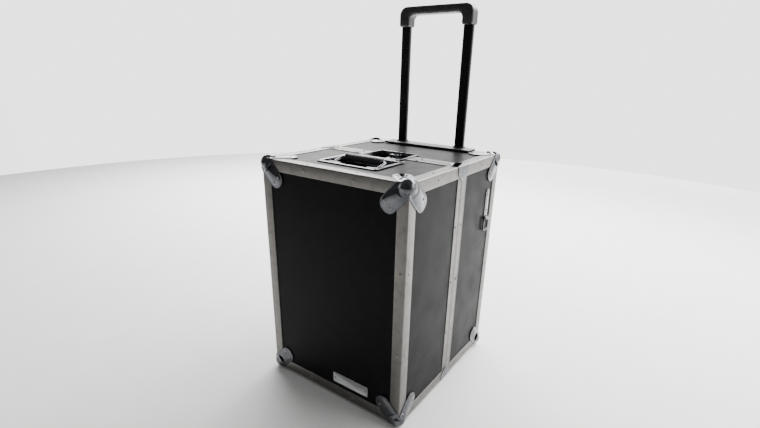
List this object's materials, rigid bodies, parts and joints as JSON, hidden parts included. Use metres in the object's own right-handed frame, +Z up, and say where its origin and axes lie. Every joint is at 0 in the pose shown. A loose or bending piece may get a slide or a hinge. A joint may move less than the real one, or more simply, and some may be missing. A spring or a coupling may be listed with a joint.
{
  "type": "equipment rack case",
  "caption": "Flight case that stands on end, with a pull-off front cover, aluminium edges, ball corners, a recessed handle, butterfly latches, a telescopic trolley handle and wheels.",
  "frame": {"origin": "middle of the footprint, on the floor under the ball corners", "axes": "+Z up, the front cover faces -Y, +X to the right seen from the front"},
  "size_m": [0.3918, 0.4449, 0.87],
  "materials": {
    "black_laminate": "semi-gloss laminate",
    "edge_aluminium": "satin anodised",
    "chromed_steel": "bright plated",
    "rivet_steel": "plain",
    "zinc_steel": "zinc plated",
    "black_rubber": "moulded",
    "plate_aluminium": "brushed",
    "black_steel": "powder coated",
    "guide_aluminium": "mill finish",
    "black_tube": "black anodised",
    "black_plastic": "moulded texture",
    "wheel_tyre": "moulded",
    "wheel_hub": "moulded"
  },
  "bodies": {
    "case_body": {"body_left_panel": "black_laminate", "body_right_panel": "black_laminate", "body_top_panel": "black_laminate", "body_bottom_panel": "black_laminate", "rear_panel": "black_laminate", "body_rear_edges": "edge_aluminium", "body_side_edges": "edge_aluminium", "body_tongue_frame": "edge_aluminium", "body_seam_braces": "chromed_steel", "body_ball_corners": "chromed_steel", "body_rivets": "rivet_steel", "latch_dish_top": "chromed_steel", "latch_dish_bottom": "chromed_steel", "rack_rail_upper": "black_steel", "rack_rail_lower": "black_steel", "trolley_guide_left": "guide_aluminium", "trolley_guide_right": "guide_aluminium", "trolley_bezel": "black_plastic", "trolley_foot_bracket": "zinc_steel", "wheel_housing_left": "black_plastic", "wheel_housing_right": "black_plastic", "wheel_axles": "zinc_steel", "side_strap": "zinc_steel"},
    "cover": {"cover_front_panel": "black_laminate", "cover_left_panel": "black_laminate", "cover_right_panel": "black_laminate", "cover_top_panel": "black_laminate", "cover_bottom_panel": "black_laminate", "cover_front_edges": "edge_aluminium", "cover_side_edges": "edge_aluminium", "cover_groove_frame": "edge_aluminium", "cover_seam_braces": "chromed_steel", "cover_ball_corners": "chromed_steel", "cover_rivets": "rivet_steel", "name_plate": "plate_aluminium", "carry_handle_dish": "chromed_steel", "carry_handle_pin": "zinc_steel", "carry_handle_springs": "zinc_steel", "latch_keeper_top": "chromed_steel", "latch_keeper_bottom": "chromed_steel"},
    "carry_handle": {"carry_handle_bail": "chromed_steel", "carry_handle_grip": "black_rubber"},
    "trolley_handle": {"trolley_tube_left": "black_tube", "trolley_tube_right": "black_tube", "trolley_grip": "black_plastic", "trolley_lock_blocks": "black_plastic"},
    "release_button": {"release_button": "black_plastic"},
    "lock_pin_left": {"lock_pin_left": "zinc_steel"},
    "lock_pin_right": {"lock_pin_right": "zinc_steel"},
    "wheel_left": {"wheel_tyre_left": "wheel_tyre", "wheel_hub_left": "wheel_hub"},
    "wheel_right": {"wheel_tyre_right": "wheel_tyre", "wheel_hub_right": "wheel_hub"},
    "side_ring": {"side_ring": "zinc_steel"},
    "latch_spindle_top": {"latch_spindle_top": "chromed_steel"},
    "latch_key_top": {"latch_key_top": "chromed_steel"},
    "latch_hook_top": {"latch_hook_top": "chromed_steel"},
    "latch_spindle_bottom": {"latch_spindle_bottom": "chromed_steel"},
    "latch_key_bottom": {"latch_key_bottom": "chromed_steel"},
    "latch_hook_bottom": {"latch_hook_bottom": "chromed_steel"}
  },
  "joints": [
    {"name": "cover_pull", "type": "slide", "parent": "case_body", "child": "cover", "axis": [0, -1, 0], "range_m": [0, 0.3]},
    {"name": "carry_handle_swing", "type": "hinge", "parent": "cover", "child": "carry_handle", "pos_m": [0, -0.1335, 0.532], "axis": [1, 0, 0], "range_deg": [0, 90], "stiffness_Nm_per_rad": 0.25, "springref_deg": -17.19},
    {"name": "trolley_extend", "type": "slide", "parent": "case_body", "child": "trolley_handle", "axis": [0, 0, 1], "range_m": [-0.275, 0]},
    {"name": "release_button_press", "type": "slide", "parent": "trolley_handle", "child": "release_button", "axis": [0, 0, -1], "range_m": [0, 0.005], "stiffness_N_per_m": 400},
    {"name": "lock_pin_left_slide", "type": "slide", "parent": "trolley_handle", "child": "lock_pin_left", "axis": [1, 0, 0], "range_m": [0, 0.003]},
    {"name": "lock_pin_right_slide", "type": "slide", "parent": "trolley_handle", "child": "lock_pin_right", "axis": [-1, 0, 0], "range_m": [0, 0.003]},
    {"name": "side_ring_swing", "type": "hinge", "parent": "case_body", "child": "side_ring", "pos_m": [0.1917, 0.1525, 0.388], "axis": [0, -1, 0], "range_deg": [0, 150]},
    {"name": "wheel_left_spin", "type": "hinge", "parent": "case_body", "child": "wheel_left", "pos_m": [-0.095, 0.1905, 0.033], "axis": [1, 0, 0], "continuous": true},
    {"name": "wheel_right_spin", "type": "hinge", "parent": "case_body", "child": "wheel_right", "pos_m": [0.095, 0.1905, 0.033], "axis": [1, 0, 0], "continuous": true},
    {"name": "latch_turn_top", "type": "hinge", "parent": "case_body", "child": "latch_spindle_top", "pos_m": [0, 0.0195, 0.54], "axis": [0, 0, 1], "range_deg": [0, 180]},
    {"name": "latch_key_fold_top", "type": "hinge", "parent": "latch_spindle_top", "child": "latch_key_top", "pos_m": [0, 0.0195, 0.5364], "axis": [1, 0, 0], "range_deg": [0, 90]},
    {"name": "latch_hook_slide_top", "type": "slide", "parent": "case_body", "child": "latch_hook_top", "axis": [0, -1, 0], "range_m": [0, 0.0062]},
    {"name": "latch_turn_bottom", "type": "hinge", "parent": "case_body", "child": "latch_spindle_bottom", "pos_m": [0, 0.0195, 0.007], "axis": [0, 0, -1], "range_deg": [0, 180]},
    {"name": "latch_key_fold_bottom", "type": "hinge", "parent": "latch_spindle_bottom", "child": "latch_key_bottom", "pos_m": [0, 0.0195, 0.0106], "axis": [-1, 0, 0], "range_deg": [0, 90]},
    {"name": "latch_hook_slide_bottom", "type": "slide", "parent": "case_body", "child": "latch_hook_bottom", "axis": [0, -1, 0], "range_m": [0, 0.0062]}
  ],
  "couplings": [
    {"joint": "lock_pin_left_slide", "follows": "release_button_press", "ratio": 0.6},
    {"joint": "lock_pin_right_slide", "follows": "release_button_press", "ratio": 0.6},
    {"joint": "latch_hook_slide_top", "follows": "latch_turn_top", "m_per_rad": 0.0019099},
    {"joint": "latch_hook_slide_bottom", "follows": "latch_turn_bottom", "m_per_rad": 0.0019099}
  ]
}
